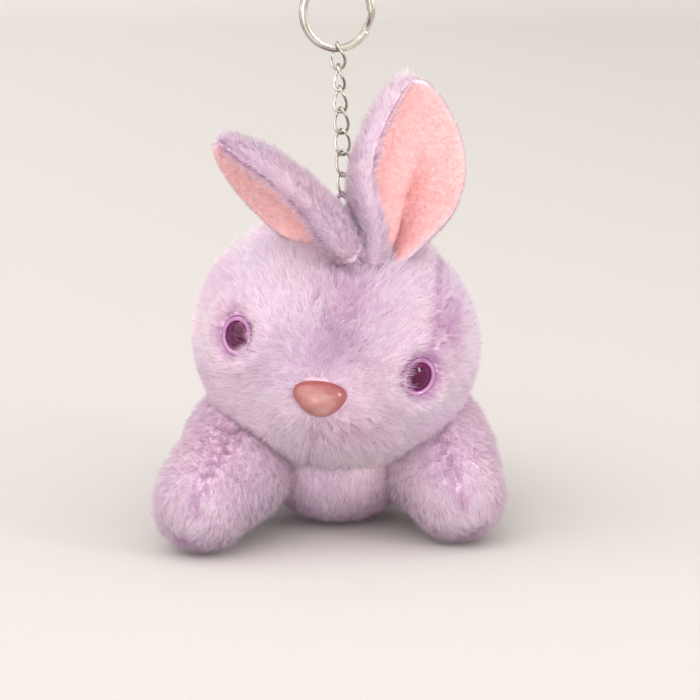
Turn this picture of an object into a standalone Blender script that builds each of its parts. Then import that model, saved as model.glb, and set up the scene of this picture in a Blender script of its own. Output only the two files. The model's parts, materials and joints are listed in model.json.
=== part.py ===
"""A plush rabbit keychain: stuffed skins, plastic eyes and nose, a twisted-link chain and a split ring.

Units in this file are millimetres until a mesh or an object is placed, which mm() turns into metres.
The rabbit lies on its belly on z = 0, faces -Y, and the chain stands up from the top of its head.
"""

import math

import bmesh
import bpy
from mathutils import Euler, Matrix, Vector

UP = Vector((0, 0, 1))
GAP = 0.3  # between pieces that touch on the real object

# Stuffed forms. Every radius is that of the cloth, under the pile.
CLOTH = 1.0
HEAD_CENTRE = Vector((0.8, -22, 59))
HEAD_RADII = Vector((41.5, 36, 38))
HEAD_TILT = Euler((0, math.radians(12), math.radians(-5)), "XYZ")
NECK_CENTRE = Vector((1, -12, 25))  # the chest is a ball about this point, and the head nods on it
CHEST_RADIUS = 26.0
RUMP_CENTRE = Vector((-1.5, 14, 26.5))
RUMP_RADIUS = 27.5
NECK_HOLE_RADIUS = 11.0
NOD_CLEARANCE = 2.0
NECK_FLARE = math.radians(9)
SHOULDER_HOLE_RADIUS = 7.0
SHOULDER_CLEARANCE = 0.8
# Each limb is two balls joined by a taper: shoulder or hip, its radius, paw, its radius.
LIMBS = {
    "front_leg_left": (Vector((-26, -22, 20)), 13.0, Vector((-38.5, -48, 14.6)), 13.4),
    "front_leg_right": (Vector((29, -18, 20)), 13.0, Vector((37.5, -37, 14.6)), 13.4),
    "hind_leg_left": (Vector((-22, 22, 16)), 11.5, Vector((-31, 44, 13.0)), 12.0),
    "hind_leg_right": (Vector((19, 24, 16)), 11.5, Vector((26, 46, 13.0)), 12.0),
}
TAIL_RADIUS = 9.0
TAIL_RISE = math.radians(18)
TAIL_HOLE_RADIUS = 3.0
BODY_STEPS = 24  # facets round the body and the head
LIMB_STEPS = 14

# Places on the head, as azimuth from the nose and elevation, in degrees.
EYE_PLACE = (44, 1)
NOSE_PLACE = (1, -15.5)
EAR_LEFT_PLACE = (-15, 58)
EAR_RIGHT_PLACE = (41, 58.5)

# Plastic fittings: radius and height of each, stacked outwards from the cloth.
EYE_RADIUS = 6.0
LENS_RISE = 3.9
RIM_HEIGHT = 1.3
IRIS_RADIUS = 5.3
PUPIL_RADIUS = 3.7
DISC_HEIGHT = 0.6
FLANGE_HEIGHT = 0.8
POST_RADIUS = 1.5
POST_LENGTH = 9.0
POST_HOLE_RADIUS = 2.0
WASHER_RADIUS = 5.0
WASHER_HEIGHT = 1.5
WASHER_DEPTH = 2.2  # top of a washer below the outside of the cloth
POCKET_RADIUS = 5.8
POCKET_DEPTH = 11.0
NOSE_WIDTH = 15.6
NOSE_HEIGHT = 11.0
NOSE_RISE = 6.2

# Ears: a sheet with one long edge rolled over, widest near its middle.
EAR_WIDTH = 38.0
EAR_BACK = 2.2
EAR_LINING = 1.4
EAR_STANDOFF = 3.2
EAR_CLEARANCE = 0.9
EAR_ROWS = 9
EAR_COLUMNS = 10
EAR_BEND = math.radians(20)
EAR_PINCH = math.radians(55)
EAR_ROLL = math.radians(115)
EAR_ROLL_FROM = 0.2
EAR_LEFT_AXIS = Vector((-0.745, -0.151, 0.648))
EAR_LEFT_FACING = Vector((-0.345, -0.743, -0.570))
EAR_LEFT_LENGTH = 47.0
EAR_RIGHT_AXIS = Vector((0.168, 0.118, 0.979))
EAR_RIGHT_FACING = Vector((0.218, -0.973, 0.079))
EAR_RIGHT_LENGTH = 50.0

# Chain, from the loop on the head up to the key ring.
LINK_WIRE = 0.95
LINK_LENGTH = 8.75
LINK_WIDTH = 5.3
LINK_TWIST = math.radians(-90)
LINK_COUNT = 6
LINK_STEPS = 20
RING_LINK_WIDTH = 5.9
CHAIN_FOOT = Vector((3.6, -6, 99.9))  # centre of the lowest link's bottom wire
CHAIN_LEAN = math.radians(-3)
CHAIN_START = math.radians(22)
CHAIN_DRIFT = math.radians(-16)  # how much further each link is turned about the chain
RING_LINK_TURN = math.radians(-45)
CORD_RADIUS = 0.75
LOOP_RADIUS = 2.6
LOOP_FOOT = 93.8  # height of the cord's ends, just clear of the crown
RING_RADIUS = 12.0
RING_SECTION = (2.0, 1.1)
RING_CHAMFER = 0.3
RING_PITCH = 1.35
RING_JOGGLE = math.radians(34)
RING_JOGGLE_AT = math.radians(-16)
RING_YAW = math.radians(22)
RING_STEPS = 50

COLOURS = {
    "lilac_plush": ((0.70, 0.50, 0.68), 0.95, 0.0),
    "pink_lining": ((0.90, 0.42, 0.42), 0.9, 0.0),
    "filling": ((0.85, 0.84, 0.82), 0.95, 0.0),
    "clear_plastic": ((0.60, 0.30, 0.58), 0.05, 0.0),
    "iris_foil": ((0.42, 0.16, 0.42), 0.25, 0.5),
    "pupil_plastic": ((0.05, 0.01, 0.05), 0.1, 0.0),
    "white_plastic": ((0.80, 0.79, 0.76), 0.4, 0.0),
    "nose_plastic": ((0.85, 0.34, 0.31), 0.2, 0.0),
    "loop_cord": ((0.66, 0.48, 0.66), 0.8, 0.0),
    "nickel_wire": ((0.72, 0.70, 0.67), 0.2, 1.0),
}


def mm(value):
    return value * 0.001


def clear_scene():
    for obj in list(bpy.data.objects):
        bpy.data.objects.remove(obj, do_unlink=True)


def make_collection(name, hidden=False):
    collection = bpy.data.collections.new(name)
    bpy.context.scene.collection.children.link(collection)
    collection.hide_render = hidden
    return collection


def make_material(name):
    colour, roughness, metallic = COLOURS[name]
    material = bpy.data.materials.new(name)
    material.use_nodes = True
    shader = material.node_tree.nodes["Principled BSDF"]
    shader.inputs["Base Color"].default_value = (*colour, 1)
    shader.inputs["Roughness"].default_value = roughness
    shader.inputs["Metallic"].default_value = metallic
    material.diffuse_color = (*colour, 1)
    return material


clear_scene()
PARTS = make_collection("plush_keychain")
CUTTERS = make_collection("cutters", hidden=True)
MATERIALS = {name: make_material(name) for name in COLOURS}


def add_mesh(name, bm, collection):
    """An object from a bmesh in millimetres, in world coordinates."""
    bmesh.ops.recalc_face_normals(bm, faces=bm.faces)
    mesh = bpy.data.meshes.new(name)
    bm.to_mesh(mesh)
    bm.free()
    mesh.transform(Matrix.Scale(0.001, 4))
    mesh.shade_smooth()
    obj = bpy.data.objects.new(name, mesh)
    collection.objects.link(obj)
    return obj


def as_cutter(obj):
    obj.hide_render = True
    obj.display_type = "WIRE"
    return obj


def add_cutter(name, bm):
    return as_cutter(add_mesh(name, bm, CUTTERS))


def finish_part(obj, material, pivot):
    """Gives a part its material, and puts its origin on its pivot, in millimetres."""
    obj.data.materials.clear()
    obj.data.materials.append(MATERIALS[material])
    place = Vector(pivot) * 0.001
    obj.data.transform(Matrix.Translation(-place))
    obj.location = place
    return obj


def cut(obj, *cutters):
    for cutter in cutters:
        modifier = obj.modifiers.new("cut_" + cutter.name, "BOOLEAN")
        modifier.operation = "DIFFERENCE"
        modifier.solver = "EXACT"
        modifier.object = cutter


def frame_along(axis, origin):
    """A matrix whose +Z is axis and whose origin is origin."""
    return Matrix.Translation(origin) @ axis.to_track_quat("Z", "Y").to_matrix().to_4x4()


def ball(radius, centre):
    bm = bmesh.new()
    place = Matrix.Translation(centre)
    bmesh.ops.create_uvsphere(bm, u_segments=14, v_segments=9, radius=radius, matrix=place)
    return bm


def cylinder(radius, start, end, segments=12):
    bm = bmesh.new()
    axis = end - start
    bmesh.ops.create_cone(
        bm,
        cap_ends=True,
        segments=segments,
        radius1=radius,
        radius2=radius,
        depth=axis.length,
        matrix=frame_along(axis, (start + end) / 2),
    )
    return bm


def turned(name, profile, place, steps, collection=None):
    """A profile of (radius, height) pairs turned about the Z axis of place, with a Screw modifier."""
    bm = bmesh.new()
    corners = [bm.verts.new((mm(r), 0, mm(z))) for r, z in profile]
    closed_profile = min(r for r, _ in profile) > 0
    pairs = list(zip(corners, corners[1:]))
    if closed_profile:
        pairs.append((corners[-1], corners[0]))
    for pair in pairs:
        bm.edges.new(pair)
    mesh = bpy.data.meshes.new(name)
    bm.to_mesh(mesh)
    bm.free()
    obj = bpy.data.objects.new(name, mesh)
    CUTTERS.objects.link(obj)
    screw = obj.modifiers.new("turn", "SCREW")
    screw.steps = steps
    screw.render_steps = steps
    screw.use_merge_vertices = True
    screw.merge_threshold = 0.00001
    screw.use_smooth_shade = True
    bpy.context.view_layer.update()
    shape = bpy.data.meshes.new_from_object(obj.evaluated_get(bpy.context.evaluated_depsgraph_get()))
    bpy.data.objects.remove(obj)
    full = bmesh.new()
    full.from_mesh(shape)
    bpy.data.meshes.remove(shape)
    bmesh.ops.scale(full, vec=(1000, 1000, 1000), verts=full.verts)
    bmesh.ops.transform(full, matrix=place, verts=full.verts)
    return add_mesh(name, full, collection or PARTS)


# Stuffed forms


def head_matrix():
    return Matrix.Translation(HEAD_CENTRE) @ HEAD_TILT.to_matrix().to_4x4()


def head_direction(azimuth, elevation):
    a = math.radians(azimuth)
    e = math.radians(elevation)
    return Vector((math.sin(a) * math.cos(e), -math.cos(a) * math.cos(e), math.sin(e)))


def head_place(azimuth, elevation):
    """The point of the head's cloth in this direction, and the outward normal there."""
    direction = head_direction(azimuth, elevation)
    reach = 1 / math.sqrt(sum((d / r) ** 2 for d, r in zip(direction, HEAD_RADII)))
    local = direction * reach
    normal = Vector(p / r**2 for p, r in zip(local, HEAD_RADII)).normalized()
    return head_matrix() @ local, HEAD_TILT.to_matrix() @ normal


def head_form(inset):
    bm = bmesh.new()
    bmesh.ops.create_uvsphere(bm, u_segments=BODY_STEPS, v_segments=14, radius=1)
    bmesh.ops.scale(bm, vec=HEAD_RADII - Vector((inset, inset, inset)), verts=bm.verts)
    bmesh.ops.transform(bm, matrix=head_matrix(), verts=bm.verts)
    return bm


def capsule_profile(start_radius, end_radius, length, arc_steps=5):
    """Half outline of two balls joined by a taper, from the far pole of the first to that of the second."""
    slope = math.asin((start_radius - end_radius) / length)
    points = []
    for i in range(arc_steps + 1):
        angle = -math.pi / 2 + (math.pi / 2 + slope) * i / arc_steps
        points.append((start_radius * math.cos(angle), start_radius * math.sin(angle)))
    for i in range(arc_steps + 1):
        angle = slope + (math.pi / 2 - slope) * i / arc_steps
        points.append((end_radius * math.cos(angle), length + end_radius * math.sin(angle)))
    points[0] = (0, -start_radius)
    points[-1] = (0, length + end_radius)
    return points


def capsule(name, start, start_radius, end, end_radius, steps, collection=None):
    axis = end - start
    profile = capsule_profile(start_radius, end_radius, axis.length)
    return turned(name, profile, frame_along(axis, start), steps, collection)


def body_form(name, inset, collection):
    obj = capsule(
        name, NECK_CENTRE, CHEST_RADIUS - inset, RUMP_CENTRE, RUMP_RADIUS - inset, BODY_STEPS, collection
    )
    for vertex in obj.data.vertices:
        vertex.co.z = max(vertex.co.z, mm(inset))
    return obj


def make_neck_cutter():
    """Room in the head for the chest ball, flaring backwards so that the head can nod and turn."""
    radius = CHEST_RADIUS + NOD_CLEARANCE
    reach = 34
    flare = radius + reach * math.tan(NECK_FLARE)
    profile = [(0, -radius)]
    for degrees in range(18, 91, 18):
        angle = math.radians(degrees)
        profile.append((radius * math.sin(angle), -radius * math.cos(angle)))
    profile += [(flare, reach), (0, reach)]
    place = frame_along(RUMP_CENTRE - NECK_CENTRE, NECK_CENTRE)
    return as_cutter(turned("neck_room", profile, place, BODY_STEPS, CUTTERS))


def limb_rooms(extra):
    """Each limb's own form, larger by extra, to cut its room in a neighbour."""
    rooms = {}
    for name, (start, start_radius, end, end_radius) in LIMBS.items():
        label = f"{name}_room_{extra:.1f}"
        room = capsule(label, start, start_radius + extra, end, end_radius + extra, LIMB_STEPS, CUTTERS)
        rooms[name] = as_cutter(room)
    return rooms


def make_skin(outer, inner, cutters, pivot):
    """The outer form, hollowed by the inner one and opened by the cutters."""
    cut(outer, as_cutter(inner), *cutters)
    finish_part(outer, "lilac_plush", pivot)


def make_body(rooms):
    toward_head = (HEAD_CENTRE - NECK_CENTRE).normalized()
    throat = NECK_CENTRE + toward_head * 34
    neck_hole = add_cutter("neck_hole", cylinder(NECK_HOLE_RADIUS, NECK_CENTRE, throat))
    outer = body_form("body_skin", 0, PARTS)
    inner = body_form("body_hollow", CLOTH, CUTTERS)
    make_skin(outer, inner, [neck_hole, *rooms.values()], (0, 0, 0))
    filling = body_form("body_filling", CLOTH + GAP, PARTS)
    cut(filling, *rooms.values())
    finish_part(filling, "filling", (0, 0, 0))


def make_limb(name):
    start, start_radius, end, end_radius = LIMBS[name]
    outer = capsule(f"{name}_skin", start, start_radius, end, end_radius, LIMB_STEPS)
    hollow_radii = (start_radius - CLOTH, end_radius - CLOTH)
    inner = capsule(f"{name}_hollow", start, hollow_radii[0], end, hollow_radii[1], LIMB_STEPS, CUTTERS)
    inward = Vector((NECK_CENTRE.x - start.x, 0, 0)).normalized()
    hole = add_cutter(
        f"{name}_hole", cylinder(SHOULDER_HOLE_RADIUS, start, start + inward * (start_radius + 4))
    )
    make_skin(outer, inner, [hole], start)
    inset = CLOTH + GAP
    filling = capsule(f"{name}_filling", start, start_radius - inset, end, end_radius - inset, LIMB_STEPS)
    finish_part(filling, "filling", start)


def make_tail():
    axis = (RUMP_CENTRE - NECK_CENTRE).normalized()
    direction = (axis * math.cos(TAIL_RISE) + UP * math.sin(TAIL_RISE)).normalized()
    centre = RUMP_CENTRE + direction * (RUMP_RADIUS + GAP + TAIL_RADIUS)
    outer = add_mesh("tail_skin", ball(TAIL_RADIUS, centre), PARTS)
    inner = add_mesh("tail_hollow", ball(TAIL_RADIUS - CLOTH, centre), CUTTERS)
    hole = add_cutter("tail_hole", cylinder(TAIL_HOLE_RADIUS, centre, centre - direction * 14))
    make_skin(outer, inner, [hole], centre)
    filling = add_mesh("tail_filling", ball(TAIL_RADIUS - CLOTH - GAP, centre), PARTS)
    finish_part(filling, "filling", centre)


def make_head(neck_room, rooms, fittings):
    """The head's skin and filling. fittings are the (point, normal) pairs of the eyes and the nose."""
    post_holes = []
    pockets = []
    for i, (point, normal) in enumerate(fittings):
        outside = point + normal * 3
        inside = point - normal * 5
        bottom = point - normal * POCKET_DEPTH
        post_holes.append(add_cutter(f"post_hole_{i}", cylinder(POST_HOLE_RADIUS, inside, outside)))
        pockets.append(add_cutter(f"pocket_{i}", cylinder(POCKET_RADIUS, bottom, outside)))
    fronts = [rooms["front_leg_left"], rooms["front_leg_right"]]
    outer = add_mesh("head_skin", head_form(0), PARTS)
    inner = add_mesh("head_hollow", head_form(CLOTH), CUTTERS)
    make_skin(outer, inner, [neck_room, *fronts, *post_holes], NECK_CENTRE)
    filling = add_mesh("head_filling", head_form(CLOTH + GAP), PARTS)
    cut(filling, neck_room, *fronts, *pockets)
    finish_part(filling, "filling", NECK_CENTRE)


# Plastic fittings


def washer_profile(top):
    inner = POST_RADIUS + GAP
    return [
        (inner, top - WASHER_HEIGHT),
        (WASHER_RADIUS, top - WASHER_HEIGHT),
        (WASHER_RADIUS, top - 0.5),
        (WASHER_RADIUS - 0.6, top),
        (inner, top),
    ]


def lens_profile(base):
    """A low cylinder rim with a dome that rises inside it, flat underneath."""
    dome_radius = EYE_RADIUS - 1.5
    points = [(0, base), (EYE_RADIUS, base), (EYE_RADIUS, base + RIM_HEIGHT - 0.4)]
    points += [(EYE_RADIUS - 0.4, base + RIM_HEIGHT), (dome_radius + 0.4, base + RIM_HEIGHT - 0.1)]
    for degrees in range(0, 90, 18):
        a = math.radians(degrees)
        rise = RIM_HEIGHT - 0.5 + (LENS_RISE - RIM_HEIGHT + 0.5) * math.sin(a)
        points.append((dome_radius * math.cos(a), base + rise))
    points.append((0, base + LENS_RISE))
    return points


def make_eye(side, point, normal):
    place = frame_along(normal, point)
    flange = GAP + FLANGE_HEIGHT
    disc = flange + GAP
    lens = disc + DISC_HEIGHT + GAP
    post = [
        (0, -POST_LENGTH),
        (POST_RADIUS, -POST_LENGTH),
        (POST_RADIUS, GAP),
        (IRIS_RADIUS, GAP),
        (IRIS_RADIUS, flange),
        (0, flange),
    ]
    iris = [
        (PUPIL_RADIUS + GAP, disc),
        (IRIS_RADIUS, disc),
        (IRIS_RADIUS, disc + DISC_HEIGHT),
        (PUPIL_RADIUS + GAP, disc + DISC_HEIGHT),
    ]
    pupil = [(0, disc), (PUPIL_RADIUS, disc), (PUPIL_RADIUS, disc + DISC_HEIGHT), (0, disc + DISC_HEIGHT)]
    pieces = (
        ("post", post, 12, "white_plastic"),
        ("iris", iris, 16, "iris_foil"),
        ("pupil", pupil, 12, "pupil_plastic"),
        ("lens", lens_profile(lens), 18, "clear_plastic"),
        ("washer", washer_profile(-WASHER_DEPTH), 12, "white_plastic"),
    )
    for part, profile, steps, material in pieces:
        obj = turned(f"eye_{side}_{part}", profile, place, steps)
        finish_part(obj, material, NECK_CENTRE)


def nose_scale(angle):
    """How far the nose's outline reaches at this angle: a rounded triangle, point down."""
    return 1 + 0.07 * math.cos(3 * (angle + math.pi / 2)) - 0.02 * math.cos(2 * angle)


def make_nose(point, normal):
    """A pearly cap with a rounded triangular outline, and its post, turned upright with the face."""
    up = HEAD_TILT.to_matrix() @ UP
    side = up.cross(normal).normalized()
    turn = Matrix((side, normal.cross(side), normal)).transposed().to_4x4()
    place = Matrix.Translation(point) @ turn
    bm = bmesh.new()
    bmesh.ops.create_uvsphere(bm, u_segments=18, v_segments=8, radius=1)
    for vertex in bm.verts:
        x, y, z = vertex.co
        reach = nose_scale(math.atan2(y, x))
        rise = NOSE_RISE * z if z > 0 else 1.6 * z
        vertex.co = Vector((x * reach * NOSE_WIDTH / 2, y * reach * NOSE_HEIGHT / 2, rise + 1.6 + GAP + 0.3))
    bmesh.ops.transform(bm, matrix=place, verts=bm.verts)
    cap = add_mesh("nose_button", bm, PARTS)
    post_form = cylinder(POST_RADIUS, point - normal * POST_LENGTH, point + normal * 3)
    post = add_cutter("nose_post", post_form)
    join = cap.modifiers.new("post", "BOOLEAN")
    join.operation = "UNION"
    join.solver = "EXACT"
    join.object = post
    finish_part(cap, "nose_plastic", NECK_CENTRE)
    washer = turned("nose_washer", washer_profile(-WASHER_DEPTH), frame_along(normal, point), 12)
    finish_part(washer, "white_plastic", NECK_CENTRE)


# Ears


def ear_width(s):
    return EAR_WIDTH * math.sin(math.pi * (0.14 + 0.86 * s) ** 1.1) ** 0.7


def ear_section(s, columns):
    """Points across the ear at s, as (sideways, forwards), with the rolled edge first and 0 at the spine."""
    step = 2 / columns
    bend = EAR_BEND + EAR_PINCH * (1 - s) ** 3
    turns = []
    for i in range(columns):
        a = -1 + (i + 0.5) * step
        roll = max(0, -a - EAR_ROLL_FROM) / (1 - EAR_ROLL_FROM)
        turns.append(bend * a - EAR_ROLL * (0.3 + 0.7 * math.sin(math.pi * min(s, 0.9))) * roll)
    points = [Vector((0, 0))]
    half = ear_width(s) / columns
    for turn in turns:
        points.append(points[-1] + Vector((math.cos(turn), math.sin(turn))) * half)
    spine = points[columns // 2]
    return [p - spine for p in points]


def ear_sheet(base, axis, facing, side_sign, length):
    """The ear's middle sheet as a grid from base to tip, as a bmesh whose faces look along facing."""
    length_axis = axis.normalized()
    front = (facing - length_axis * facing.dot(length_axis)).normalized()
    across = length_axis.cross(front) * side_sign
    bm = bmesh.new()
    bmesh.ops.create_grid(bm, x_segments=EAR_COLUMNS, y_segments=EAR_ROWS, size=1)
    bm.verts.ensure_lookup_table()
    for vertex in bm.verts:
        s = (vertex.co.y + 1) / 2 * 0.985
        column = round((vertex.co.x + 1) / 2 * EAR_COLUMNS)
        sideways, forwards = ear_section(s, EAR_COLUMNS)[column]
        sway = 2.5 * math.sin(math.pi * s)
        vertex.co = base + length_axis * (length * s) + across * sideways + front * (forwards - sway)
    bmesh.ops.recalc_face_normals(bm, faces=bm.faces)
    middle = min(bm.faces, key=lambda f: (f.calc_center_median() - base - length_axis * length / 2).length)
    if middle.normal.dot(front) < 0:
        bmesh.ops.reverse_faces(bm, faces=bm.faces)
    return bm


def make_ear(side, head_room, place, axis, facing, side_sign, length):
    point, _ = head_place(*place)
    base = point + axis.normalized() * EAR_STANDOFF
    for piece, offset, thickness, material in (
        ("back", -GAP / 2, EAR_BACK, "lilac_plush"),
        ("lining", GAP / 2, EAR_LINING, "pink_lining"),
    ):
        bm = ear_sheet(base, axis, facing, side_sign, length)
        for vertex, normal in [(v, v.normal.copy()) for v in bm.verts]:
            vertex.co += normal * offset
        mesh = bpy.data.meshes.new(f"ear_{side}_{piece}")
        bm.to_mesh(mesh)
        bm.free()
        mesh.transform(Matrix.Scale(0.001, 4))
        mesh.shade_smooth()
        obj = bpy.data.objects.new(f"ear_{side}_{piece}", mesh)
        PARTS.objects.link(obj)
        solid = obj.modifiers.new("thickness", "SOLIDIFY")
        solid.thickness = mm(thickness)
        solid.offset = -1 if piece == "back" else 1
        cut(obj, head_room)
        finish_part(obj, material, base)


# Chain and ring


def wire_object(name, points, radius, closed, pivot, material):
    curve = bpy.data.curves.new(name, "CURVE")
    curve.dimensions = "3D"
    curve.bevel_depth = mm(radius)
    curve.bevel_resolution = 1
    curve.use_fill_caps = not closed
    spline = curve.splines.new("POLY")
    spline.points.add(len(points) - 1)
    for target, point in zip(spline.points, points):
        target.co = (*((point - Vector(pivot)) * 0.001), 1)
    spline.use_cyclic_u = closed
    obj = bpy.data.objects.new(name, curve)
    PARTS.objects.link(obj)
    obj.location = Vector(pivot) * 0.001
    curve.materials.append(MATERIALS[material])
    return obj


def link_points(bottom, chain_axis, width, turn):
    """The centre line of a twisted oval link standing on its bottom wire."""
    half = (LINK_LENGTH - LINK_WIRE) / 2
    reach = (width - LINK_WIRE) / 2
    across = Vector((1, 0, 0))
    across = (across - chain_axis * across.dot(chain_axis)).normalized()
    points = []
    for i in range(LINK_STEPS):
        angle = 2 * math.pi * i / LINK_STEPS
        along = half * math.copysign(abs(math.sin(angle)) ** 0.9, math.sin(angle))
        side = reach * math.copysign(abs(math.cos(angle)) ** 0.8, math.cos(angle))
        spin = Matrix.Rotation(turn + LINK_TWIST * along / (2 * half), 4, chain_axis)
        points.append(bottom + chain_axis * (half + along) + spin @ (across * side))
    return points


def make_chain():
    """The links up from the loop, and the place of the topmost wire.

    Every other link turns on its own bottom wire, and those between on the top wire of the link below.
    """
    axis = Vector((math.sin(CHAIN_LEAN), 0, math.cos(CHAIN_LEAN)))
    pitch = LINK_LENGTH - 2 * LINK_WIRE - GAP
    links = [(f"chain_link_{i + 1}", LINK_WIDTH, CHAIN_START + CHAIN_DRIFT * i) for i in range(LINK_COUNT)]
    links.append(("ring_link", RING_LINK_WIDTH, RING_LINK_TURN))
    for i, (name, width, turn) in enumerate(links):
        bottom = CHAIN_FOOT + axis * (pitch * i)
        wire_below = bottom + axis * (LINK_WIRE + GAP)
        pivot = bottom if i % 2 == 0 else wire_below
        wire_object(name, link_points(bottom, axis, width, turn), LINK_WIRE / 2, True, pivot, "nickel_wire")
    return bottom + axis * (LINK_LENGTH - LINK_WIRE)


def ring_section():
    """The flat wire's outline with its corners taken off, as a curve to sweep."""
    radial, axial = RING_SECTION
    section = bpy.data.curves.new("ring_section", "CURVE")
    section.dimensions = "2D"
    outline = section.splines.new("POLY")
    corners = []
    for x, y in ((1, -1), (-1, -1), (-1, 1), (1, 1)):
        flat_end = Vector((x * (radial / 2 - RING_CHAMFER), y * axial / 2))
        side_end = Vector((x * radial / 2, y * (axial / 2 - RING_CHAMFER)))
        corners += [side_end, flat_end] if x * y < 0 else [flat_end, side_end]
    outline.points.add(len(corners) - 1)
    for target, corner in zip(outline.points, corners):
        target.co = (mm(corner.x), mm(corner.y), 0, 1)
    outline.use_cyclic_u = True
    section_object = bpy.data.objects.new("ring_section", section)
    CUTTERS.objects.link(section_object)
    return as_cutter(section_object)


def make_key_ring(link_top):
    """Two turns of flat wire with a joggle between them, hanging up from the topmost link."""
    radial = RING_SECTION[0]
    middle = RING_RADIUS - radial / 2
    drop = LINK_WIRE / 2 + GAP  # from the pivot down to the inside of the ring
    rise = RING_RADIUS - radial - drop
    curve = bpy.data.curves.new("key_ring", "CURVE")
    curve.dimensions = "3D"
    curve.twist_mode = "Z_UP"
    curve.bevel_mode = "OBJECT"
    curve.bevel_object = ring_section()
    curve.use_fill_caps = True
    spline = curve.splines.new("POLY")
    spline.points.add(RING_STEPS)
    start = RING_JOGGLE_AT + RING_JOGGLE / 2
    sweep = 4 * math.pi - RING_JOGGLE
    for i, target in enumerate(spline.points):
        angle = sweep * i / RING_STEPS
        past = (angle - (2 * math.pi - RING_JOGGLE)) / RING_JOGGLE
        step = min(max(past, 0), 1)
        layer = step * step * (3 - 2 * step) - 0.5
        turn = start + angle
        x = middle * math.cos(turn)
        y = middle * math.sin(turn) + rise
        target.co = (mm(x), mm(y), mm(layer * RING_PITCH), 1)
    obj = bpy.data.objects.new("key_ring", curve)
    PARTS.objects.link(obj)
    curve.materials.append(MATERIALS["nickel_wire"])
    obj.rotation_euler = (math.radians(90), 0, RING_YAW)
    obj.location = link_top * 0.001


def make_hang_loop():
    """A short cord arch sewn to the crown, square to the lowest link's bottom wire."""
    top = CHAIN_FOOT + UP * (LINK_WIRE / 2 + GAP + CORD_RADIUS)
    along = CHAIN_START - LINK_TWIST / 2
    span = Vector((math.sin(along), -math.cos(along), 0)) * LOOP_RADIUS
    centre = top - UP * LOOP_RADIUS
    drop = UP * (LOOP_FOOT - centre.z)
    path = [centre - span + drop, centre - span + drop / 2]
    for i in range(9):
        angle = math.pi - math.pi * i / 8
        path.append(centre + span * math.cos(angle) + UP * (LOOP_RADIUS * math.sin(angle)))
    path += [centre + span + drop / 2, centre + span + drop]
    wire_object("hang_loop", path, CORD_RADIUS, False, top, "loop_cord")


def main():
    neck_room = make_neck_cutter()
    body_rooms = limb_rooms(SHOULDER_CLEARANCE)
    head_rooms = limb_rooms(SHOULDER_CLEARANCE + 1.6)
    make_body(body_rooms)
    for name in LIMBS:
        make_limb(name)
    make_tail()
    left_eye = head_place(-EYE_PLACE[0], EYE_PLACE[1])
    right_eye = head_place(*EYE_PLACE)
    nose = head_place(*NOSE_PLACE)
    make_head(neck_room, head_rooms, (left_eye, right_eye, nose))
    make_eye("left", *left_eye)
    make_eye("right", *right_eye)
    make_nose(*nose)
    head_room = add_cutter("head_room", head_form(-EAR_CLEARANCE))
    make_ear("left", head_room, EAR_LEFT_PLACE, EAR_LEFT_AXIS, EAR_LEFT_FACING, -1, EAR_LEFT_LENGTH)
    make_ear("right", head_room, EAR_RIGHT_PLACE, EAR_RIGHT_AXIS, EAR_RIGHT_FACING, 1, EAR_RIGHT_LENGTH)
    make_hang_loop()
    link_top = make_chain()
    make_key_ring(link_top)


main()
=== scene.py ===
"""Looks of the plush rabbit keychain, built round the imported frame.

Shapes are worked out in millimetres in the frame's own axes, and become metres when a mesh is made.
"""

import json
import math

import bmesh
import bpy
import numpy as np
from mathutils import Euler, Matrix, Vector
from mathutils.kdtree import KDTree


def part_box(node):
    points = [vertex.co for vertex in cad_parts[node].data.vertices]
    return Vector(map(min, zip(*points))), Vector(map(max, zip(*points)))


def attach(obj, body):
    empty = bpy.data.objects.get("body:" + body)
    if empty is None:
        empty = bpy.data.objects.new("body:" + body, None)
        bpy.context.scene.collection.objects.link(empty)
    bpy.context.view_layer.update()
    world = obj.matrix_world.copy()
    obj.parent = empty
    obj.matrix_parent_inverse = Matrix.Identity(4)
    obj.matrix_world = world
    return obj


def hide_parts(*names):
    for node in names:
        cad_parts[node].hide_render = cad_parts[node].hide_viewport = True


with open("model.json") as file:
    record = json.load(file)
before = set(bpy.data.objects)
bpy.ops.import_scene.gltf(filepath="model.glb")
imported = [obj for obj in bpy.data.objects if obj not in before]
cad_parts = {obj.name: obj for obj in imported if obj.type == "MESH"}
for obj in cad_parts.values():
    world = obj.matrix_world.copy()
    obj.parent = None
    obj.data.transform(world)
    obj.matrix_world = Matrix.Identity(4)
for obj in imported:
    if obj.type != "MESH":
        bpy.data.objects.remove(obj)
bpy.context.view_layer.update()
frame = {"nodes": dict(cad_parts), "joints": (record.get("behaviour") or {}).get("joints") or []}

MM = 0.001
UP = np.array([0.0, 0.0, 1.0])

# Pile: tufts to a square millimetre, and how long they are.
HEAD_DENSITY = 16
HEAD_BACK_DENSITY = 13
BODY_DENSITY = 11
LIMB_DENSITY = 14
EAR_DENSITY = 17
LINING_DENSITY = 30
HEAD_PILE = 3.5
BODY_PILE = 3.0
LIMB_PILE = 3.4
TAIL_PILE = 4.2
LINING_PILE = 0.9
ROOT_DEPTH = 0.3  # how far a tuft starts below the cloth
PILE_DEFAULTS = {"width": 0.17, "clump": 1.5, "shade": 1, "only": None, "keep": None}

# Head: the cloth under the pile, as the frame has it.
HEAD_RADII = np.array([41.8, 36.3, 38.3])
HEAD_TILT = Euler((0, math.radians(12), math.radians(-5)), "XYZ")
WASHER_BELOW_CLOTH = 2.95  # from the outside of the cloth down to the middle of a washer
EYE_RADIUS = 6.0
EYE_SINK = 0.8  # how far an eye is drawn into the cloth
NOSE_WIDTH = 15.8
NOSE_HEIGHT = 11.0
NOSE_RISE = 5.0
HEAD_SEAM_SIDE = 27.5  # how far the crown seams are from the middle

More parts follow.
